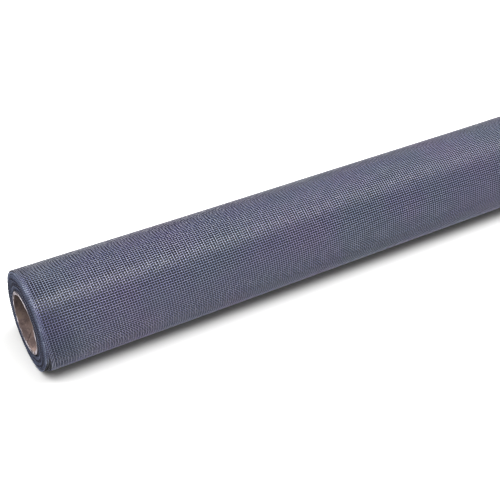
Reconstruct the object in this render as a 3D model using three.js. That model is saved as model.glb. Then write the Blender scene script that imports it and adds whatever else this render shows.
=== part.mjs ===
import * as THREE from "three";

// A roll of fibreglass insect screen wound on a cardboard core tube, lying on its side.
// Millimetres, +Z up. The roll's axis lies along X, the floor is z = 0 and the origin is below
// the middle of the roll.

// Driving dimensions
const SCREEN_WIDTH = 610; // width of the screen, so the length of the roll
const ROLL_DIAMETER = 60; // over the outermost turn
const CORE_PROUD = 1; // how far the core tube stands out past the outermost turn at each end
const CORE_DIAMETER = 38; // outside of the core tube
const CORE_WALL = 2; // wound cardboard
const FIT_GAP = 0.3; // between the core tube and the first turn
const END_BANDS = 12; // groups of turns that stand out from one another on each end
const TELESCOPE = 0.8; // how far the first turn has slid towards -X from the outermost one
const STAGGER = 0.35; // how far each second group of turns lies back from its neighbours
const SIDES = 48; // flats round every turned surface

// Turned surfaces are measured across their flats, so the corners lie a little further out.
const cornerRadius = (diameter) => diameter / 2 / Math.cos(Math.PI / SIDES);

// Turns a closed outline of [x, diameter] points about the roll's axis.
function turned(outline) {
  const points = outline.map(([x, diameter]) => new THREE.Vector2(cornerRadius(diameter), x));
  points.push(points[0].clone());
  const geometry = new THREE.LatheGeometry(points, SIDES);
  geometry.rotateY(Math.PI / SIDES); // a flat, and not a corner, at the bottom
  geometry.rotateZ(-Math.PI / 2); // the lathe turns about Y, and the roll lies along X
  return geometry;
}

// How far a group of turns has slid towards -X: the inner turns have telescoped, and every
// second group lies back a little.
function slideOf(band) {
  const outwards = band / (END_BANDS - 1);
  return TELESCOPE * (1 - outwards) ** 2 - (band % 2) * STAGGER;
}

// One end's outline from the bore outwards: a flat ring for each group of turns.
// Each turn is as wide as the screen, so a group that stands out at -X lies back at +X.
function endOutline(side, boreDiameter) {
  const bandWidth = (ROLL_DIAMETER - boreDiameter) / END_BANDS;
  const outline = [];
  for (let band = 0; band < END_BANDS; band++) {
    const x = (side * SCREEN_WIDTH) / 2 - slideOf(band);
    outline.push([x, boreDiameter + band * bandWidth]);
    outline.push([x, boreDiameter + (band + 1) * bandWidth]);
  }
  return outline;
}

function meshRollGeometry() {
  const boreDiameter = CORE_DIAMETER + 2 * FIT_GAP;
  const nearEnd = endOutline(-1, boreDiameter);
  const farEnd = endOutline(1, boreDiameter).reverse();
  return turned([...nearEnd, ...farEnd]);
}

function coreTubeGeometry() {
  const bore = CORE_DIAMETER - 2 * CORE_WALL;
  const end = SCREEN_WIDTH / 2 + CORE_PROUD;
  return turned([[-end, bore], [-end, CORE_DIAMETER], [end, CORE_DIAMETER], [end, bore]]);
}

function namedMesh(name, geometry, material) {
  const mesh = new THREE.Mesh(geometry, material);
  mesh.name = name;
  mesh.position.z = ROLL_DIAMETER / 2;
  return mesh;
}

const screen = new THREE.MeshStandardMaterial({ color: 0x6b7080, roughness: 0.75, metalness: 0 });
const cardboard = new THREE.MeshStandardMaterial({ color: 0x9a7f6a, roughness: 0.9, metalness: 0 });

const roll = new THREE.Group();
roll.add(namedMesh("mesh_roll", meshRollGeometry(), screen));
roll.add(namedMesh("core_tube", coreTubeGeometry(), cardboard));

export default roll;
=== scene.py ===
# %% [markdown]
# # A roll of insect screen
# The CAD model gives this roll two plain solids: a turned body for the wound mesh and a tube
# for its cardboard core. Here they get their looks: threads, turn edges, board and light.
# The first cell loads the solids as a fixed frame. Nothing in it is moved or reshaped, and
# every new piece takes its place and size from it.

# %% Load the fixed frame
import math

import bmesh
import bpy
import numpy as np
from mathutils import Matrix, Vector


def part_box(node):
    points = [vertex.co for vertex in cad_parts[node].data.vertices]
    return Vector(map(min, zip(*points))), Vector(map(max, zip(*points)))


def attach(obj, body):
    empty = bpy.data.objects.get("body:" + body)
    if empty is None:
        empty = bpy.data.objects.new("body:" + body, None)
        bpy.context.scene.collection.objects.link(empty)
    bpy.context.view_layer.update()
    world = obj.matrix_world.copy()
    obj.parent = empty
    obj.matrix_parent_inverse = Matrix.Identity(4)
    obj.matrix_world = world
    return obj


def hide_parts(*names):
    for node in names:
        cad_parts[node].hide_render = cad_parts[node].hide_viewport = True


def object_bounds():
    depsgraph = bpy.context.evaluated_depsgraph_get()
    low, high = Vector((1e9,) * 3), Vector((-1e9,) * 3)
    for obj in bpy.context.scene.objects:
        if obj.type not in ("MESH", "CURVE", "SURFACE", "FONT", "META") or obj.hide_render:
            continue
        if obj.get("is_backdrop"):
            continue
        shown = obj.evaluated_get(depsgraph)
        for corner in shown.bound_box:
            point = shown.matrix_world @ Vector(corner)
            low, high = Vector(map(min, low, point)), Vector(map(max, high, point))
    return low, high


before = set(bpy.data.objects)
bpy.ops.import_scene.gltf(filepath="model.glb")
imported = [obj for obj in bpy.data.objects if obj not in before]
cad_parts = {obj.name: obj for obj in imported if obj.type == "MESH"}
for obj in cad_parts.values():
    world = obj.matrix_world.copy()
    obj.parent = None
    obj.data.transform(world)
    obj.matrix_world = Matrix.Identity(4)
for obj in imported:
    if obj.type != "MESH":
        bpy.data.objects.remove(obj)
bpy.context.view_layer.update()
print("solids:", sorted(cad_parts))

# %% [markdown]
# Sizes come from the frame where it has them. Blender works in metres here, so each size in
# millimetres is multiplied by MM. The screen is the common 18 by 16 kind: sixteen threads an
# inch run round the roll, and eighteen an inch run along it.

# %% Sizes of the roll and its threads
MM = 0.001
INCH = 25.4 * MM

roll_low, roll_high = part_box("mesh_roll")
core_low, core_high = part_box("core_tube")
ROLL_RADIUS = (roll_high.z - roll_low.z) / 2
AXIS_HEIGHT = (roll_high.z + roll_low.z) / 2
SCREEN_WIDTH = 2 * roll_high.x  # the outermost turn hasn't slid, so it ends here
CORE_RADIUS = (core_high.z - core_low.z) / 2
CORE_END = core_high.x
CORE_WALL = 2 * MM

ROUND_PITCH = INCH / 16  # between threads that run round the roll
ALONG_PITCH = INCH / 18  # between threads that run along it
THREAD_WIDTH = 0.38 * MM
THREAD_HEIGHT = 0.22 * MM
TURN = 0.33 * MM  # one turn's thickness
print(f"roll {2 * ROLL_RADIUS / MM:.1f} mm across, {SCREEN_WIDTH / MM:.0f} mm long")

# %% [markdown]
# ## Camera
# The photo looks along the roll from its open end: 30 degrees round from square on and 36
# degrees down. The roll's edges meet far off to the upper right, and how fast they close
# together gives the lens: about 73 mm on a 36 mm sensor. The camera's place is measured from
# the middle of the open end.

# %% Camera at the photo's angle
CAMERA_AZIMUTH = math.radians(-29.92)
CAMERA_HEIGHT_ANGLE = math.radians(36.44)
CAMERA_LENS = 73.43
CAMERA_FROM_END = Vector((-108.4, -441.0, 373.1)) * MM

near_end = Vector((-SCREEN_WIDTH / 2, 0, AXIS_HEIGHT))
towards_camera = Vector((
    math.sin(CAMERA_AZIMUTH) * math.cos(CAMERA_HEIGHT_ANGLE),
    -math.cos(CAMERA_AZIMUTH) * math.cos(CAMERA_HEIGHT_ANGLE),
    math.sin(CAMERA_HEIGHT_ANGLE),
))
camera = bpy.data.objects.new("camera", bpy.data.cameras.new("camera"))
camera.data.lens = CAMERA_LENS
camera.data.sensor_width = 36
camera.data.clip_start = 0.01
camera.location = near_end + CAMERA_FROM_END
camera.rotation_mode = "QUATERNION"
camera.rotation_quaternion = (-towards_camera).to_track_quat("-Z", "Y")
bpy.context.scene.collection.objects.link(camera)
bpy.context.scene.camera = camera
bpy.context.scene.cycles.filter_width = 1.0  # the threads are two pixels apart in the distance
print("camera at", [round(value, 3) for value in camera.location])

# %% [markdown]
# ## Floor and light
# A plain pale floor and soft light, as in a catalogue picture. A long panel above and a little
# in front runs along the roll, so that the upper front of every round thread shines. A weak
# one low in front softens the shadow under the roll, one off the near end lights the turn
# edges and the bore, and a warm white world fills the rest. The world alone would leave the
# threads flat, and a small lamp would make hard shadows in the holes.

# %% Floor
FLOOR_SIZE = 12.0
bpy.ops.object.select_all(action="DESELECT")
bpy.ops.mesh.primitive_plane_add(size=FLOOR_SIZE, location=(0, 0, 0))
floor = bpy.context.object
floor.name = "floor"
floor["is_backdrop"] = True
print("floor is", FLOOR_SIZE, "m wide")

# %% Lights
LONG_PANEL = (2.6, 0.4)  # metres along the roll and across it
SQUARE_PANEL = (1.0, 1.0)
WARM_WHITE = (1, 0.97, 0.91, 1)
WORLD_STRENGTH = 0.28


def soft_panel(name, place, aim, size, power):
    """A flat light that looks at a point."""
    light = bpy.data.objects.new(name, bpy.data.lights.new(name, "AREA"))
    light.data.shape = "RECTANGLE"
    light.data.size, light.data.size_y = size
    light.data.energy = power
    light.location = place
    light.rotation_mode = "QUATERNION"
    light.rotation_quaternion = (aim - Vector(place)).to_track_quat("-Z", "Y")
    bpy.context.scene.collection.objects.link(light)
    return light


roll_middle = Vector((0, 0, AXIS_HEIGHT))
soft_panel("key_panel", (0.2, -0.47, 1.45), roll_middle, LONG_PANEL, 70)
soft_panel("front_panel", (0.1, -1.8, 0.4), roll_middle, LONG_PANEL, 11)
soft_panel("end_panel", (-1.0, 0.4, 1.1), near_end, SQUARE_PANEL, 22)
world = bpy.data.worlds.new("studio")
bpy.context.scene.world = world
world.use_nodes = True
background = world.node_tree.nodes["Background"]
background.inputs["Color"].default_value = WARM_WHITE
background.inputs["Strength"].default_value = WORLD_STRENGTH
bpy.context.scene.view_settings.view_transform = "Standard"

# %% [markdown]
# ## Winding
# A screen is woven flat and then wound, and it is made the same way here: each part of it is
# modelled on a flat strip, with X across the strip, Y along it from the loose edge inwards and
# Z out from the roll. One function then winds the points into a spiral. Blender's own bend
# makes one circle and not a spiral, so the winding is a formula.
#
# A spiral that loses one turn's thickness each turn has, at winding angle a, the radius
# R - t a / 2 pi and the length R a - t a^2 / 4 pi. The second is solved for the angle.

# %% The spiral
OUTER_RADIUS = ROLL_RADIUS + 0.05 * MM  # the middle of the outermost turn at its loose edge
INNER_RADIUS = CORE_RADIUS + 0.45 * MM  # the middle of the innermost turn
MIDDLE_RADIUS = (OUTER_RADIUS + INNER_RADIUS) / 2
LOOSE_EDGE = math.radians(200)  # from the top, over the side that faces the camera
TURNS = (OUTER_RADIUS - INNER_RADIUS) / TURN
RANDOM_VALUES = 4096


def winding_angle(length):
    """How far round the strip has gone after this length, from the loose edge inwards."""
    root = np.sqrt(OUTER_RADIUS**2 - TURN * length / math.pi)
    return (OUTER_RADIUS - root) * 2 * math.pi / TURN


def strip_length(turns):
    """The length of strip in this many turns, from the loose edge inwards."""
    return 2 * math.pi * turns * (OUTER_RADIUS - TURN * turns / 2)


def turns_at(degrees, turn):
    """How many turns from the loose edge this angle is first met after whole turns."""
    return turn + (LOOSE_EDGE - math.radians(degrees)) / (2 * math.pi)


def from_angle(angle, middle):
    """The angle from a middle, between -pi and pi."""
    return (angle - middle + math.pi) % (2 * math.pi) - math.pi


def hill_at(angle, middle, spread):
    """A smooth hill of height 1 round an angle."""
    return np.exp(-(from_angle(angle, middle) / spread) ** 2)


def wander(at, step, seed):
    """A smooth random line between -1 and 1, with a new value at every step."""
    values = np.random.default_rng(seed).uniform(-1, 1, RANDOM_VALUES)
    place = np.asarray(at) / step % (RANDOM_VALUES - 1)
    left = np.floor(place).astype(int)
    share = (1 - np.cos(math.pi * (place - left))) / 2
    return values[left] * (1 - share) + values[left + 1] * share


print(f"{TURNS:.1f} turns, {strip_length(TURNS):.2f} m of screen")

# %% [markdown]
# A real roll isn't wound perfectly. The turns have slid towards the open end, the inner ones
# most, in groups that show as rings. The outermost turn was laid on last and by hand: low on
# the near end its edge was pulled in by a few millimetres, and it stands off a little at the
# top. Below it the turns are slack there, which leaves a dark gap. Both ends flare a little,
# and slow waves run along the roll.

# %% How far the turns slide along the roll
TELESCOPE = roll_high.x + roll_low.x  # negative: towards the open end
TELESCOPE_CURVE = 1.5  # above 1, the inner turns slid most
RING_GROUPS = ((3.2, 0.4 * MM, 5), (6.5, 0.6 * MM, 8), (0.9, 0.12 * MM, 13))  # turns, slide, seed
GROUPED_FROM = 1.6  # turns from the loose edge
PULLED_IN = (  # turns from the loose edge, and how far the near edge is pulled in there
    (0, 3.6 * MM), (0.2, 3.4 * MM), (0.26, 2.3 * MM), (0.32, 0.9 * MM), (0.38, 0.1 * MM),
    (0.5, 0), (0.62, 0.3 * MM), (1.0, 0.3 * MM), (1.3, 0),
)


def slide(x, turns):
    """How far along X the strip has slid at this many turns from the loose edge."""
    inward = np.clip(turns / TURNS, 0, 1)
    covered = np.clip(turns - GROUPED_FROM, 0, 1)
    groups = sum(reach * wander(turns, step, seed) for step, reach, seed in RING_GROUPS)
    towards_near_end = 0.5 - x / SCREEN_WIDTH
    pulled_in = np.interp(turns, *zip(*PULLED_IN)) * towards_near_end
    return TELESCOPE * inward**TELESCOPE_CURVE + groups * covered + pulled_in


# %% How far the turns stray outwards
FLARE, FLARE_REACH = 0.28 * MM, 9 * MM  # how far, and from how far into the roll
FLARE_TURNS = 1.9
RIPPLE, RIPPLE_STEP = 0.1 * MM, 35 * MM
SLACK, SLACK_REACH = 1.2 * MM, 22 * MM
SLACK_ANGLE, SLACK_SPREAD = math.radians(127), math.radians(19)
SLACK_FROM, SLACK_GROWTH = 0.8, 4  # turns from the loose edge, and the share it gains a turn
STAND_OFF, STAND_OFF_REACH = 0.85 * MM, 110 * MM
STAND_OFF_ANGLE, STAND_OFF_SPREAD = math.radians(-22), math.radians(48)
WEAVE = 0.06 * MM  # how far a round thread rises and falls


def stray_outwards(x, angle, turns):
    """How far the strip lies off its spiral."""
    outer_share = 1 - np.clip(turns / TURNS, 0, 1)
    from_near_end = np.clip(x + SCREEN_WIDTH / 2, 0, None)
    edge_share = np.exp(-np.clip(SCREEN_WIDTH / 2 - np.abs(x), 0, None) / FLARE_REACH)
    between = np.clip(turns - 0.5, 0, 1) * np.clip(TURNS - turns, 0, 1)
    own_place = turns + 40 * (x > 0)  # so that the far end flares in its own way
    flare = FLARE * edge_share * between * wander(own_place, FLARE_TURNS, 11)
    ripple = RIPPLE * outer_share * wander(x + 1, RIPPLE_STEP, 21) * np.cos(angle)
    pressed = np.clip((turns - SLACK_FROM) * SLACK_GROWTH, 0, 1) * outer_share**2
    low_down = hill_at(angle, SLACK_ANGLE, SLACK_SPREAD)
    slack = SLACK * pressed * low_down * np.exp(-from_near_end / SLACK_REACH)
    on_top = hill_at(angle, STAND_OFF_ANGLE, STAND_OFF_SPREAD)
    stand_off = STAND_OFF * outer_share**3 * on_top * np.exp(-from_near_end / STAND_OFF_REACH)
    return flare + ripple + stand_off - slack


# %% Wind a flat piece
def read_points(mesh):
    points = np.zeros(len(mesh.vertices) * 3)
    mesh.vertices.foreach_get("co", points)
    return points.reshape(-1, 3)


def write_points(mesh, points):
    mesh.vertices.foreach_set("co", np.asarray(points).ravel())
    mesh.update()


def wind(piece):
    """Winds a piece modelled on the flat strip round the roll's axis, and onto the floor."""
    x, along, out = read_points(piece.data).T
    wound = winding_angle(along)
    turns = wound / (2 * math.pi)
    angle = LOOSE_EDGE - wound
    radius = OUTER_RADIUS - TURN * turns + stray_outwards(x, angle, turns)
    downwards = np.clip(-np.cos(angle), 0.5, None)  # the floor is met only low on the roll
    to_floor = (AXIS_HEIGHT - THREAD_HEIGHT / 2 - WEAVE) / downwards
    radius = np.minimum(radius, to_floor) + out
    placed = (x + slide(x, turns), -radius * np.sin(angle), AXIS_HEIGHT + radius * np.cos(angle))
    write_points(piece.data, np.stack(placed, 1))
    return piece


# %% [markdown]
# ## Tools for hand modelling
# Operators act on all that is selected, so everything is deselected first. Edges and faces are
# then picked by where they lie.

# %% Selecting and finishing
def only(piece):
    """Makes this piece the one selected object."""
    bpy.ops.object.select_all(action="DESELECT")
    piece.select_set(True)
    bpy.context.view_layer.objects.active = piece
    return piece


def edit(piece):
    """Opens a piece in edit mode with nothing selected, and gives its mesh."""
    only(piece)
    bpy.ops.object.mode_set(mode="EDIT")
    bpy.ops.mesh.select_mode(type="EDGE")
    bpy.ops.mesh.select_all(action="DESELECT")
    return bmesh.from_edit_mesh(piece.data)


def pick(piece, items):
    """Selects these edges or faces of the piece that is being edited."""
    for item in items:
        item.select_set(True)
    bmesh.update_edit_mesh(piece.data)


def close_edit():
    bpy.ops.object.mode_set(mode="OBJECT")


MOST_CUTS = 100  # that subdivide makes in one go


def cut_lengthwise(piece, axis, parts):
    """Cuts a long piece across into this many equal parts, or a few more. Where they are more
    than subdivide can make, the piece is cut in two rounds."""
    rounds = math.ceil(parts / MOST_CUTS)
    for count in (rounds, math.ceil(parts / rounds)):
        if count > 1:
            mesh = edit(piece)
            pick(piece, [
                edge for edge in mesh.edges
                if abs((edge.verts[0].co - edge.verts[1].co).normalized()[axis]) > 0.99
            ])
            bpy.ops.mesh.subdivide(number_cuts=count - 1)
            close_edit()
    return piece


def apply_modifier(piece, kind, **settings):
    """Adds a modifier, sets it and applies it."""
    only(piece)
    modifier = piece.modifiers.new(kind.lower(), kind)
    for key, value in settings.items():
        setattr(modifier, key, value)
    bpy.ops.object.modifier_apply(modifier=modifier.name)
    return piece


def joined(name, pieces):
    """Joins pieces into the first one."""
    only(pieces[0])
    for piece in pieces:
        piece.select_set(True)
    bpy.ops.object.join()
    pieces[0].name = name
    return pieces[0]


def soften(piece):
    """Shades a piece smooth, but for its sharp edges."""
    only(piece)
    bpy.ops.object.shade_smooth_by_angle(angle=math.radians(40))
    return piece


def report(piece):
    """Prints how many triangles a piece has."""
    faces = sum(len(face.vertices) - 2 for face in piece.data.polygons)
    print(f"{piece.name}: {faces} triangles")


# %% [markdown]
# ## Threads
# Each thread is a fine glass yarn with a vinyl coat, a little wider than it is high. A
# three-sided bar with smooth shading is enough at this size: a hole in the mesh is only a
# millimetre wide. One straight thread is modelled, cut into parts so that it can follow the
# roll, and an Array modifier lays its neighbours beside it. An attribute marks its ridge, so
# that the finish can paint shade at the foot of each thread.

# %% One thread and its copies
THREAD_SIDES = 3
RIDGE_UP = {"X": (math.pi / 2, 0, math.pi / 2), "Y": (math.pi / 2, 0, 0)}


def straight_thread(name, direction, length, parts):
    """One flat thread from the origin along X or Y, with a ridge on top."""
    bpy.ops.object.select_all(action="DESELECT")
    bpy.ops.mesh.primitive_cylinder_add(
        vertices=THREAD_SIDES, radius=THREAD_WIDTH / 2, depth=length,
        rotation=RIDGE_UP[direction],
    )
    thread = bpy.context.object
    thread.name = name
    bpy.ops.object.transform_apply(location=True, rotation=True, scale=True)
    cut_lengthwise(thread, "XY".index(direction), parts)
    edit(thread)
    bpy.ops.mesh.select_all(action="SELECT")
    bpy.ops.transform.resize(value=(1, 1, THREAD_HEIGHT / THREAD_WIDTH))
    close_edit()
    only(thread)
    bpy.ops.object.shade_smooth()
    ridge = thread.data.attributes.new("ridge", "FLOAT", "POINT")
    ridge.data.foreach_set("value", (read_points(thread.data)[:, 2] > 0).astype(np.float32))
    half = length / 2
    return shift(thread, x=half) if direction == "X" else shift(thread, y=half)


def lay_beside(thread, count, step):
    """Copies a thread count times, each one step on from the last."""
    return apply_modifier(
        thread, "ARRAY", count=count, use_relative_offset=False, use_constant_offset=True,
        constant_offset_displace=step,
    )


def shift(piece, x=0.0, y=0.0, z=0.0):
    piece.data.transform(Matrix.Translation((x, y, z)))
    return piece


# %% [markdown]
# For baking the colours, each side of each thread needs its own narrow column in the piece's
# UV map. The corners of a face take their column from the turn of the face's middle about its
# thread, so the wrapped side stays in one column too.

# %% UV columns for threads
def thread_map(piece, across, first, pitch, count):
    """Lays each side of each thread in a column of the UV map. across is 0 for threads that
    lie side by side in X and 1 for Y, and first is where the first of them lies."""
    mesh = piece.data
    corners = np.zeros(len(mesh.loops), int)
    mesh.loops.foreach_get("vertex_index", corners)
    starts = np.zeros(len(mesh.polygons), int)
    mesh.polygons.foreach_get("loop_start", starts)
    sizes = np.diff(np.append(starts, len(corners)))
    face_of = np.repeat(np.arange(len(starts)), sizes)
    at = read_points(mesh)[corners]
    thread = np.clip(np.round((at[:, across] - first) / pitch), 0, count - 1)
    side = np.stack([at[:, across] - first - thread * pitch, at[:, 2]], 1)
    face_side = np.add.reduceat(side, starts) / sizes[:, None]
    face_turn = np.arctan2(face_side[:, 1], face_side[:, 0])
    corner_turn = np.arctan2(side[:, 1], side[:, 0])
    late = from_angle(corner_turn, face_turn[face_of]) > 0
    column = np.round((face_turn % (2 * math.pi)) / (2 * math.pi) * THREAD_SIDES - 0.5)
    u = (thread + (column[face_of] % THREAD_SIDES + late) / THREAD_SIDES) / count
    length = at[:, 1 - across]
    v = (length - length.min()) / np.ptp(length)
    uv = mesh.uv_layers[0] if mesh.uv_layers else mesh.uv_layers.new()
    uv.name = "OFBake"
    uv.data.foreach_set("uv", np.stack([u, v], 1).astype(np.float32).ravel())
    return piece


# %% [markdown]
# The two outer turns show, one through the holes of the other. The threads along the roll lie
# a little closer together in the second turn, because it was wound tighter. At 38 degrees from
# the top, near where the camera looks straight at the roll, both turns have a thread at the
# same place and the holes line up. Away from there the second turn fills the holes of the first:
# that is what draws the broad bands on a roll of screen.

# %% Where the threads of the outer turns lie
ALIGNED_AT = 38  # degrees from the top
EDGE_INSET = 0.6 * MM
ROUND_COUNT = int((SCREEN_WIDTH - 2 * EDGE_INSET) / ROUND_PITCH) + 1
FIRST_ROUND = -(ROUND_COUNT - 1) / 2 * ROUND_PITCH
SECOND_PITCH = ALONG_PITCH * 0.97


class OuterTurn:
    """One of the two turns that show: its stretch of the strip and its threads' pitch."""

    def __init__(self, label, turn, pitch):
        aligned = strip_length(turns_at(ALIGNED_AT, turn))
        before = int((aligned - strip_length(turn)) / pitch)
        self.label = label
        self.pitch = pitch
        self.start = aligned - before * pitch
        self.count = int((strip_length(turn + 1) - self.start) / pitch) + 1
        self.length = (self.count - 1) * pitch


first_turn = OuterTurn("first_turn", 0, ALONG_PITCH)
second_turn = OuterTurn("second_turn", 1, SECOND_PITCH)
for turn in (first_turn, second_turn):
    print(f"{turn.label}: {turn.count} threads along the roll in {turn.length / MM:.1f} mm")

# %% [markdown]
# The weave: threads that run round the roll pass over and under the threads that run along it.
# In a plain weave each neighbour does the opposite. The yarns that run round do the bending,
# and those along the roll lie straight. Only the outermost turn is woven, because in the one
# below it the bending can't be seen. At both edges of the screen one more round thread lies
# between the last two, which makes the selvage.

# %% Threads round the roll
def weave(piece, turn):
    """Moves the round threads over and under their neighbours."""
    points = read_points(piece.data)
    lane = np.round((points[:, 0] - FIRST_ROUND) / ROUND_PITCH)
    crossing = (points[:, 1] - turn.start) / turn.pitch
    points[:, 2] += WEAVE * np.cos(math.pi * lane) * np.cos(math.pi * crossing)
    write_points(piece.data, points)
    return piece


def round_threads(label, turn, low, high, parts):
    """Threads low to high of those that run round the roll, on one of the outer turns."""
    piece = straight_thread(f"round_threads_{turn.label}_{label}", "Y", turn.length, parts)
    lay_beside(piece, high - low, (ROUND_PITCH, 0, 0))
    thread_map(piece, 0, 0, ROUND_PITCH, high - low)
    return shift(piece, FIRST_ROUND + low * ROUND_PITCH, turn.start)


half = ROUND_COUNT // 2
mesh_pieces = []
for label, low, high in (("near", 0, half), ("far", half, ROUND_COUNT)):
    outer = round_threads(label, first_turn, low, high, first_turn.count - 1)
    mesh_pieces.append(wind(weave(outer, first_turn)))
    under = round_threads(label, second_turn, low, high, second_turn.count // 2)
    mesh_pieces.append(wind(under))
for piece in mesh_pieces:
    report(piece)

# %% Selvage threads
def selvage(label, turn, side):
    """The extra round thread between the last ones at one edge of the screen."""
    piece = straight_thread(f"selvage_{turn.label}_{label}", "Y", turn.length, turn.count - 1)
    thread_map(piece, 0, 0, ROUND_PITCH, 1)
    return wind(shift(piece, side * (-FIRST_ROUND - ROUND_PITCH / 2), turn.start))


ENDS = (("near", -1), ("far", 1))
for label, side in ENDS:
    mesh_pieces.append(selvage(label, first_turn, side))
    report(mesh_pieces[-1])

# %% Threads along the roll
ALONG_PARTS = 24
STUB = 0.7 * MM


def along_threads(turn):
    """The threads that run along the roll, with cut ends past the last round thread."""
    piece = straight_thread(
        f"along_threads_{turn.label}", "X", -2 * FIRST_ROUND + 2 * STUB, ALONG_PARTS
    )
    lay_beside(piece, turn.count, (0, turn.pitch, 0))
    thread_map(piece, 1, 0, turn.pitch, turn.count)
    return wind(shift(piece, FIRST_ROUND - STUB, turn.start))


for turn in (first_turn, second_turn):
    mesh_pieces.append(along_threads(turn))
    report(mesh_pieces[-1])

# %% [markdown]
# ## The turns underneath
# Through the holes of two turns hardly any light comes back, so the thirty turns below are one
# dark body. It is a cylinder whose end faces are inset and bridged into a bore, as a washer is
# made, and cut across its length so that it can follow the slack at the near end.

# %% The dark body
BODY_SIDES = 96
BODY_SETBACK = 1.6 * MM
BODY_TURNS_DOWN = 2.5
BODY_PARTS = 60
BODY_LIFT = 0.2 * MM  # it rises no more than this with the turns above it


def tube(name, length, outer, inner, sides, parts=1):
    """A tube along X about the roll's axis, with its bore bridged from end to end."""
    bpy.ops.object.select_all(action="DESELECT")
    bpy.ops.mesh.primitive_cylinder_add(
        vertices=sides, radius=outer, depth=length, location=(0, 0, AXIS_HEIGHT),
        rotation=(0, math.pi / 2, 0),
    )
    piece = bpy.context.object
    piece.name = name
    bpy.ops.object.transform_apply(location=True, rotation=True, scale=True)
    mesh = edit(piece)
    pick(piece, [face for face in mesh.faces if abs(face.normal.x) > 0.9])
    bpy.ops.mesh.inset(thickness=outer - inner)
    bpy.ops.mesh.bridge_edge_loops()
    close_edit()
    return cut_lengthwise(piece, 0, parts)


def press_in(piece):
    """Moves the body's outer wall with the turns above it."""
    points = read_points(piece.data)
    x, y, z = points[:, 0], points[:, 1], points[:, 2] - AXIS_HEIGHT
    angle = np.arctan2(-y, z)
    radius = np.hypot(y, z)
    stray = stray_outwards(x, angle, np.full(len(x), BODY_TURNS_DOWN))
    on_wall = radius > MIDDLE_RADIUS
    scale = 1 + on_wall * np.minimum(stray, BODY_LIFT) / radius
    write_points(piece.data, np.stack([x, y * scale, AXIS_HEIGHT + z * scale], 1))
    return soften(piece)


body = press_in(tube(
    "turns_underneath", SCREEN_WIDTH - 2 * BODY_SETBACK, OUTER_RADIUS - BODY_TURNS_DOWN * TURN,
    INNER_RADIUS - TURN / 2, BODY_SIDES, BODY_PARTS,
))
report(body)

# %% [markdown]
# ## Turn edges
# On each end the edges of all the turns show as fine rings. The edge band of the strip is
# modelled flat as a thin ribbon with the cut ends of the cross threads along it, and wound
# with the same function. Because inner turns have slid, their outer faces show as steps.

# %% The edge band
EDGE_FROM_TURN = 2.0
RIBBON_WIDTH = 1.4 * MM
RIBBON_HEIGHT = 0.2 * MM
CORD_STEP = 1.15 * THREAD_WIDTH
EDGE_STEP = 3.4 * MM
EDGE_START = strip_length(EDGE_FROM_TURN)
EDGE_LENGTH = strip_length(TURNS) - EDGE_START
EDGE_PARTS = int(EDGE_LENGTH / EDGE_STEP)


def edge_ribbon(side):
    """The band along one edge of the strip, flat: a long box cut into parts."""
    bpy.ops.object.select_all(action="DESELECT")
    middle_x = side * (SCREEN_WIDTH / 2 - EDGE_INSET - RIBBON_WIDTH / 2)
    bpy.ops.mesh.primitive_cube_add(size=1, location=(middle_x, EDGE_START + EDGE_LENGTH / 2, 0))
    ribbon = bpy.context.object
    ribbon.scale = (RIBBON_WIDTH, EDGE_LENGTH, RIBBON_HEIGHT)
    bpy.ops.object.transform_apply(location=True, rotation=True, scale=True)
    return cut_lengthwise(ribbon, 1, EDGE_PARTS)


def edge_cords(side):
    """The two yarns that finish one edge of the strip, side by side."""
    cords = straight_thread("cords", "Y", EDGE_LENGTH, EDGE_PARTS)
    lay_beside(cords, 2, (-side * CORD_STEP, 0, 0))
    return shift(cords, side * (SCREEN_WIDTH / 2 - EDGE_INSET), EDGE_START)


def edge_stubs(side):
    """The cut ends of the cross threads along one edge."""
    stubs = straight_thread("stubs", "X", 2 * STUB, 1)
    lay_beside(stubs, int(EDGE_LENGTH / ALONG_PITCH), (0, ALONG_PITCH, 0))
    return shift(stubs, side * (SCREEN_WIDTH / 2 - STUB) - STUB, EDGE_START)


turn_edges = []
for label, side in ENDS:
    parts = [edge_ribbon(side), edge_cords(side), edge_stubs(side)]
    turn_edges.append(wind(joined(f"turn_edges_{label}", parts)))
    report(turn_edges[-1])

# %% [markdown]
# ## Core tube
# The core is wound from strips of brown board, so its inside shows one seam that runs round
# and round like a screw thread. The outer wall is a tube with softened rims. The inner ply is
# a flat strip carried round by the Screw modifier, a hair narrower than its pitch, so that the
# seam stays open. The ply is cut square at the ends by bisecting.

# %% The board tube
PLY = 0.35 * MM
PLY_PITCH = 88 * MM
PLY_SEAM = 0.7 * MM
PLY_CUTS = 5  # across the strip
CORE_SIDES = 128
RIM_BEVEL = 0.25 * MM


def on_rim(edge):
    """Whether an edge lies on an end of the core, between the end and a wall."""
    at_end = all(abs(abs(vertex.co.x) - CORE_END) < MM / 100 for vertex in edge.verts)
    return at_end and abs(edge.link_faces[0].normal.x - edge.link_faces[1].normal.x) > 0.5


core_wall = tube(
    "core_wall", 2 * CORE_END, CORE_RADIUS, CORE_RADIUS - CORE_WALL + PLY, CORE_SIDES
)
pick(core_wall, [edge for edge in edit(core_wall).edges if on_rim(edge)])
bpy.ops.mesh.bevel(offset=RIM_BEVEL, segments=2)
close_edit()
report(core_wall)

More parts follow.
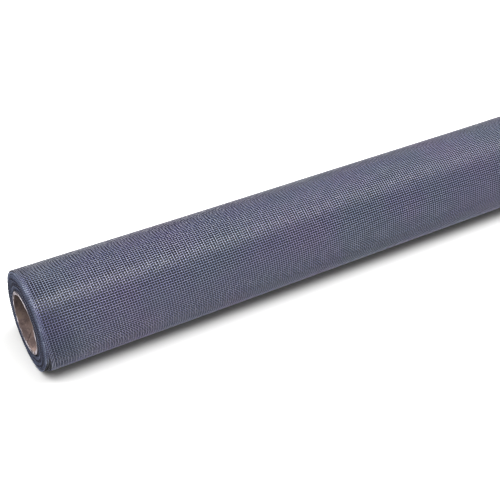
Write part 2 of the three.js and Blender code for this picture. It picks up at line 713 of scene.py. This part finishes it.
# %% The inner ply
def inner_ply(pitch, radius, thickness):
    """A helical strip inside the tube, with an open seam between its turns."""
    bpy.ops.object.select_all(action="DESELECT")
    bpy.ops.mesh.primitive_plane_add(size=1)
    ply = bpy.context.object
    mesh = edit(ply)
    pick(ply, [edge for edge in mesh.edges if max(vertex.co.y for vertex in edge.verts) > 0])
    bpy.ops.mesh.delete(type="EDGE")
    bpy.ops.mesh.select_all(action="SELECT")
    bpy.ops.mesh.subdivide(number_cuts=PLY_CUTS)
    close_edit()
    points = read_points(ply.data)
    points[:, 0] *= pitch - PLY_SEAM
    points[:, 1:] = (0, radius)
    write_points(ply.data, points)
    turns = int(2 * CORE_END / pitch) + 3  # so that it reaches past both ends
    apply_modifier(
        ply, "SCREW", axis="X", angle=2 * math.pi, screw_offset=pitch, iterations=turns,
        steps=CORE_SIDES, render_steps=CORE_SIDES, use_normal_calculate=True,
    )
    shift(ply, -turns * pitch / 2, 0, AXIS_HEIGHT)
    apply_modifier(ply, "SOLIDIFY", thickness=thickness, offset=0)
    for side in (-1, 1):
        edit(ply)
        bpy.ops.mesh.select_all(action="SELECT")
        bpy.ops.mesh.bisect(
            plane_co=(side * CORE_END, 0, 0), plane_no=(side, 0, 0), use_fill=True, clear_outer=True
        )
        close_edit()
    return ply


ply = inner_ply(PLY_PITCH, CORE_RADIUS - CORE_WALL + PLY / 2, PLY)
report(ply)

# %% [markdown]
# A saw or knife leaves a board rim a little ragged. The points near the rims are moved by a
# smooth random line round the tube: the rim by a tenth of a millimetre, and the inner ply,
# which frays, by more.

# %% Ragged rims
FINE_NICKS, BROAD_NICKS = 0.11, 0.35  # radians round the tube
WALL_NICKS = 0.009  # share of the radius


def fray(piece, reach, depth, seed):
    """Pulls the points near both ends back by a random depth that changes round the tube."""
    points = read_points(piece.data)
    round_the_tube = np.arctan2(points[:, 1], points[:, 2] - AXIS_HEIGHT) + math.pi
    inside = np.hypot(points[:, 1], points[:, 2] - AXIS_HEIGHT) < CORE_RADIUS - CORE_WALL / 2
    share = np.clip(1 - (CORE_END - np.abs(points[:, 0])) / reach, 0, 1)
    fine = wander(round_the_tube, FINE_NICKS, seed)
    broad = wander(round_the_tube, BROAD_NICKS, seed + 1)
    ragged = (fine + broad) / 2
    points[:, 0] -= np.sign(points[:, 0]) * share * depth * np.clip(ragged + 0.4, 0, None)
    points[:, 1] *= 1 + WALL_NICKS * share * inside * ragged
    write_points(piece.data, points)


fray(core_wall, 1 * MM, 0.25 * MM, 31)
fray(ply, 2 * MM, 0.9 * MM, 37)
core = soften(joined("core_board", [core_wall, ply]))
print("core is", [round(size / MM, 1) for size in core.dimensions], "mm")

# %% [markdown]
# ## Finishes
# Shader maths is written as plain formulas. A Value wraps the output of a node, and arithmetic
# on it adds Math nodes. Every other node comes from one method of the recipe, which takes the
# node's type, its settings and what goes into its sockets. A recipe also knows where a point
# lies on the roll: its x, its angle from the top and its distance from the axis.

# %% Formulas for materials
class Value:
    """The output of a node in a recipe."""

    def __init__(self, recipe, socket):
        self.recipe = recipe
        self.socket = socket

    def maths(self, operation, *others):
        """A Math node with this value in its first socket and the others after it."""
        return self.recipe.maths(operation, self, *others)

    def __add__(self, other):
        return self.maths("ADD", other)

    def __sub__(self, other):
        return self.maths("SUBTRACT", other)

    def __rsub__(self, other):
        return self.recipe.maths("SUBTRACT", other, self)

    def __mul__(self, other):
        return self.maths("MULTIPLY", other)

    def __truediv__(self, other):
        return self.maths("DIVIDE", other)

    __radd__ = __add__
    __rmul__ = __mul__

    def clamped(self):
        return self.maths("MAXIMUM", 0).maths("MINIMUM", 1)


class Recipe:
    """A material with one shader, and ways to add nodes to it."""

    def __init__(self, name, **constants):
        self.material = bpy.data.materials.new(name)
        self.material.use_nodes = True
        self.tree = self.material.node_tree
        self.shader = self.tree.nodes["Principled BSDF"]
        self.object_place = self.node("ShaderNodeTexCoord", output="Object")
        self.x, y, z = (
            self.node("ShaderNodeSeparateXYZ", {}, {0: self.object_place}, axis) for axis in "XYZ"
        )
        up = z - AXIS_HEIGHT
        self.angle = (0 - y).maths("ARCTAN2", up)
        self.radius = (y * y + up * up).maths("SQRT")
        for socket_name, value in constants.items():
            self.feed(socket_name.replace("_", " "), value)

    def node(self, kind, settings=None, inputs=None, output=0):
        """Adds a node, sets it, feeds its sockets and gives one output."""
        node = self.tree.nodes.new(kind)
        settings = dict(settings or {})
        stops = settings.pop("stops", None)
        for key, value in settings.items():
            setattr(node, key, value)
        if stops:
            ramp = node.color_ramp
            while len(ramp.elements) < len(stops):
                ramp.elements.new(0.5)
            for element, (position, color) in zip(ramp.elements, stops):
                element.position = position
                element.color = (*color, 1)
        for key, value in (inputs or {}).items():
            self.link(value, node.inputs[key])
        return Value(self, node.outputs[output])

    def maths(self, operation, *values):
        return self.node("ShaderNodeMath", {"operation": operation}, dict(enumerate(values)))

    def link(self, value, socket):
        """Links a Value to a socket, or sets the socket to a number or a colour."""
        if isinstance(value, Value):
            self.tree.links.new(value.socket, socket)
        else:
            socket.default_value = (*value, 1) if isinstance(value, tuple) else value

    def feed(self, socket_name, value):
        """Gives one of the shader's sockets a number, a colour or a link."""
        self.link(value, self.shader.inputs[socket_name])

    def noise(self, size, place=None, detail=2.0, seed=0.0):
        """A smooth random value whose features are about this size in metres."""
        inputs = {"W": seed, "Scale": 1 / size, "Detail": detail}
        inputs["Vector"] = place or self.object_place
        return self.node("ShaderNodeTexNoise", {"noise_dimensions": "4D"}, inputs, "Fac")

    def ramp(self, value, *stops):
        """A colour that changes with a value, through stops of a position and a colour."""
        return self.node("ShaderNodeValToRGB", {"stops": stops}, {"Fac": value}, "Color")

    def mix(self, share, first, second, blend="MIX"):
        """Mixes two colours by a share."""
        settings = {"data_type": "RGBA", "blend_type": blend}
        return self.node("ShaderNodeMix", settings, {0: share, 6: first, 7: second}, 2)

    def tinted(self, color, light):
        """A colour made lighter or darker by a value."""
        grey = self.node("ShaderNodeCombineColor", {}, {0: light, 1: light, 2: light})
        return self.mix(1.0, color, grey, "MULTIPLY")

    def bump(self, height, distance, strength):
        """Fine relief: how high it is where the height is 1, and how strong it looks."""
        inputs = {"Height": height, "Distance": distance, "Strength": strength}
        self.feed("Normal", self.node("ShaderNodeBump", {}, inputs, "Normal"))

    def on(self, *pieces):
        """Gives the material to pieces."""
        for piece in pieces:
            piece.data.materials.clear()
            piece.data.materials.append(self.material)
        print(f"{self.material.name} on {len(pieces)} pieces")


# %% [markdown]
# ### Vinyl threads
# The vinyl coat is a blue slate grey with a soft gloss. Over the roll it drifts between slate,
# violet and a greener grey in patches a few centimetres wide, and no two threads are quite
# alike: their tone comes from the thread's own column in the UV map. Grime lies in small
# patches. The foot of each thread is darkened as painted shade, so that its ridge stands out
# light. The top and back get a neutral grey tint as a painted reflection of warm surroundings.

# %% Vinyl
SLATE = (0.087, 0.092, 0.188)
VIOLET = (0.103, 0.089, 0.193)
SEA_GREY = (0.079, 0.1, 0.175)
PATCH_SIZE = 45 * MM
OWN_TONE_SIZE = 1 / 190  # of the UV map's width
GRIME_SIZE = 6 * MM
# painted reflection: a neutral grey tint on the top and back, for the warm surroundings reflected
# there
TOP_REFLECTION_TINT = (0.07, 0.066, 0.06)
TOP_AND_BACK_ANGLE = math.radians(-52)  # where the painted reflection tint is strongest, from the top
GRAIN_SIZE, GRAIN_DEPTH = 0.25 * MM, 0.02 * MM


def vinyl(name, gloss):
    """The recipe of a vinyl coat, before it gets its colour."""
    return Recipe(name, Specular_IOR_Level=gloss, Coat_Weight=1.0, Coat_Roughness=0.22)


def colour_threads(recipe, shade):
    """Colours threads by patches, own tones and grime, as light as the shade says, with painted
    shade at each thread's foot and a painted reflection tint on the top and back.
    """
    patches = recipe.ramp(
        recipe.noise(PATCH_SIZE, seed=1), (0.38, VIOLET), (0.5, SLATE), (0.62, SEA_GREY)
    )
    columns = recipe.node("ShaderNodeUVMap", {"uv_map": "OFBake"}, output="UV")
    own_tone = recipe.noise(OWN_TONE_SIZE, columns, detail=0)
    grime = recipe.noise(GRIME_SIZE, seed=3, detail=3)
    ridge = recipe.node("ShaderNodeAttribute", {"attribute_name": "ridge"}, output="Fac")
    # painted shade: the foot of each thread is darkened, so that its ridge stands out light
    light = shade * (0.7 + 0.35 * own_tone + 0.25 * grime) * (0.3 + 0.9 * ridge)
    # painted reflection: the top and back are tinted neutral grey and made a little rougher
    top_and_back = 2 * ((recipe.angle - TOP_AND_BACK_ANGLE).maths("COSINE") - 0.6).clamped()
    recipe.feed("Base Color", recipe.tinted(recipe.mix(top_and_back, patches, TOP_REFLECTION_TINT), light))
    recipe.feed("Roughness", 0.28 + 0.2 * grime + 0.15 * top_and_back)
    recipe.bump(recipe.noise(GRAIN_SIZE, seed=4), GRAIN_DEPTH, 0.2)
    return recipe


outer_vinyl = colour_threads(vinyl("vinyl_outer_turn", gloss=0.8), shade=1.0)
outer_vinyl.on(*[piece for piece in mesh_pieces if "first_turn" in piece.name])

# %% [markdown]
# The first turn keeps most of the light from the second, so that one is darker and duller. At
# the ends of the roll its edges come out into the light again, but for the slack gap low on the
# roll, which no light reaches and where its coat doesn't shine.

# %% Vinyl of the second turn
SECOND_SHADE = 0.27
EDGE_GAIN = 0.7  # how much lighter the edges are
EDGE_REACH = 4.5 * MM


def second_turn_shade(recipe):
    """How light the second turn is. Also takes the coat's shine from the slack gap."""
    into_edge = recipe.x.maths("ABSOLUTE") - (SCREEN_WIDTH / 2 - EDGE_REACH)
    at_edge = (into_edge / EDGE_REACH * 2).clamped()
    low_down = (((recipe.angle - SLACK_ANGLE).maths("COSINE") - 0.88) / 0.08).clamped()
    in_gap = at_edge * low_down
    recipe.feed("Coat Weight", 1 - in_gap)
    return SECOND_SHADE * (1 + EDGE_GAIN * at_edge - (1 + EDGE_GAIN) * in_gap)


second_vinyl = vinyl("vinyl_second_turn", gloss=0.2)
colour_threads(second_vinyl, second_turn_shade(second_vinyl))
second_vinyl.on(*[piece for piece in mesh_pieces if "second_turn" in piece.name])

# %% [markdown]
# ### The dark turns underneath
# The body stands for many layers of mesh, so its wall carries their pattern: two grids of
# threads with slightly different pitches, a little lighter than the gaps between them. The
# grids follow the length along the axis and the angle about it.

# %% Depth
DEEP = (0.014, 0.016, 0.03)
GRID_LINE = 0.2 * MM
NEAR_GRID = (0.985, 0.3 * MM)  # its share of the outer turn's pitch, and its offset
FAR_GRID = (0.955, 0.9 * MM)


def lines(place, pitch):
    """Threads a pitch apart along a place, 1 on a thread and 0 between two."""
    return (1.5 - place.maths("PINGPONG", pitch / 2) / GRID_LINE).clamped()


def grid(recipe, pitch_share, offset):
    """A grid of threads on the roll's wall, 1 on a thread and 0 in a hole."""
    round_the_roll = recipe.angle * (ROLL_RADIUS - BODY_TURNS_DOWN * TURN) + offset
    along_threads_mask = lines(round_the_roll, ALONG_PITCH * pitch_share)
    return along_threads_mask.maths("MAXIMUM", lines(recipe.x + offset, ROUND_PITCH))


def shaded_turns():
    recipe = Recipe("shaded_turns", Roughness=0.45, Specular_IOR_Level=0.5)
    near_grid = grid(recipe, *NEAR_GRID)
    far_grid = grid(recipe, *FAR_GRID)
    light = 0.25 + 0.9 * near_grid + 0.5 * far_grid + 0.4 * recipe.noise(12 * MM, seed=6)
    recipe.feed("Base Color", recipe.tinted(DEEP, light))
    recipe.bump(near_grid, 0.2 * MM, 0.6)
    return recipe


shaded_turns().on(body)

# %% [markdown]
# ### Turn edges
# Some turns were pressed tight against each other and look nearly black at the end, others
# stand apart and catch the light. The finish follows the distance from the axis, and wavers a
# little from place to place, so it draws rings. They get lighter outwards, because the inner
# turns lie deeper in shade.

# %% Rings on the ends
NAVY = (0.012, 0.013, 0.03)
TEAL = (0.075, 0.087, 0.14)
PALE_EDGE = (0.26, 0.3, 0.4)
WAVER_SIZE, WAVER = 14 * MM, 3 * MM
BROAD_RINGS, FINE_RINGS = 2.8 * MM, 0.9 * MM
OUTWARD_GAIN = 0.014 / MM  # tone gained a millimetre


def ringed_edges():
    recipe = Recipe("turn_edges", Specular_IOR_Level=0.3)
    waver = recipe.noise(WAVER_SIZE, seed=8) * WAVER
    rings = recipe.node("ShaderNodeCombineXYZ", {}, {0: recipe.radius + waver})
    broad = recipe.noise(BROAD_RINGS, rings, detail=0, seed=17)
    fine = recipe.noise(FINE_RINGS, rings, detail=0, seed=10)
    tone = 0.6 * broad + 0.4 * fine + OUTWARD_GAIN * (recipe.radius - MIDDLE_RADIUS)
    recipe.feed("Base Color", recipe.ramp(tone, (0.38, NAVY), (0.47, TEAL), (0.58, PALE_EDGE)))
    recipe.feed("Roughness", 0.45 + 0.3 * fine)
    recipe.bump(recipe.noise(GRAIN_SIZE, seed=4), GRAIN_DEPTH, 0.5)
    return recipe


ringed_edges().on(*turn_edges)

# %% [markdown]
# ### Board
# Inside, the core shows brown paper with blotches and painted light: lightest low on the side
# towards the camera, darker high on the far side. The cut rims are paler and worn in places,
# with the plies as thin rings, and the outer wall is coloured nearly black.

# %% Board finish
KRAFT_DARK = (0.11, 0.078, 0.075)
KRAFT = (0.25, 0.18, 0.165)
KRAFT_YELLOW = (0.29, 0.225, 0.16)
CUT_BOARD = (0.34, 0.31, 0.34)
CUT_SHADE = (0.10, 0.08, 0.085)
OUTER_WALL_DARK = (0.05, 0.048, 0.06)
WALL_DARK_DEPTH = 0.15 * MM  # over this depth the outer wall's dark colour fades out on the rim
PAINTED_LIGHT_AT = math.radians(125)  # where the painted light inside the core is brightest, from the top
BLOTCH_SIZE, FIBRE_SIZE = 9 * MM, 1.2 * MM
PLY_RING_SIZE, WORN_SIZE = 0.3 * MM, 4 * MM


def board():
    recipe = Recipe("board", Specular_IOR_Level=0.2)
    blotches = recipe.noise(BLOTCH_SIZE, seed=12, detail=4)
    fibres = recipe.noise(FIBRE_SIZE, seed=13, detail=3)
    paper = recipe.ramp(
        0.75 * blotches + 0.25 * fibres, (0.36, KRAFT_DARK), (0.52, KRAFT), (0.66, KRAFT_YELLOW)
    )
    # painted light: the inside is lightest low on the side towards the camera and darkest high on
    # the far side
    inside = recipe.tinted(paper, 0.74 + 0.36 * (recipe.angle - PAINTED_LIGHT_AT).maths("COSINE"))
    across_plies = recipe.node("ShaderNodeCombineXYZ", {}, {0: recipe.radius})
    plies = recipe.noise(PLY_RING_SIZE, across_plies, detail=1)
    worn = 0.3 * plies + 0.7 * recipe.noise(WORN_SIZE, seed=14)
    rim = recipe.ramp(worn, (0.44, CUT_SHADE), (0.56, CUT_BOARD))
    into_rim = recipe.x.maths("ABSOLUTE") - (CORE_END - 2 * RIM_BEVEL)
    at_rim = (into_rim / RIM_BEVEL).clamped()
    # the outer wall and the outer edge of each rim are coloured nearly black
    on_wall = ((recipe.radius - (CORE_RADIUS - 2 * WALL_DARK_DEPTH)) / WALL_DARK_DEPTH).clamped()
    recipe.feed("Base Color", recipe.mix(on_wall, recipe.mix(at_rim, inside, rim), OUTER_WALL_DARK))
    recipe.feed("Roughness", 0.75 + 0.2 * fibres)
    recipe.bump(fibres, 0.1 * MM, 0.6)
    return recipe


board().on(core)

# %% [markdown]
# ### Floor
# A pale seamless sheet, as a product is photographed on, with the faintest cloudiness.

# %% Floor finish
CLOUDY, CLEAR = (0.53, 0.53, 0.53), (0.55, 0.55, 0.55)
CLOUD_SIZE = 0.6


def pale_sheet():
    recipe = Recipe("pale_sheet", Roughness=0.7, Specular_IOR_Level=0.2)
    clouds = recipe.noise(CLOUD_SIZE, seed=20)
    recipe.feed("Base Color", recipe.ramp(clouds, (0.3, CLOUDY), (0.7, CLEAR)))
    return recipe


pale_sheet().on(floor)

# %% [markdown]
# ## Last steps
# Nothing on a roll moves, so every piece rides its one body. The dark body takes the place of
# the turned solid and the board that of the plain tube, whose solids are hidden, and the
# bounds of what is shown are measured.

# %% Ride, and hide the solids
for piece in (*mesh_pieces, body, *turn_edges):
    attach(piece, "root")
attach(core, "root")
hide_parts("mesh_roll")
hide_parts("core_tube")

low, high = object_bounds()
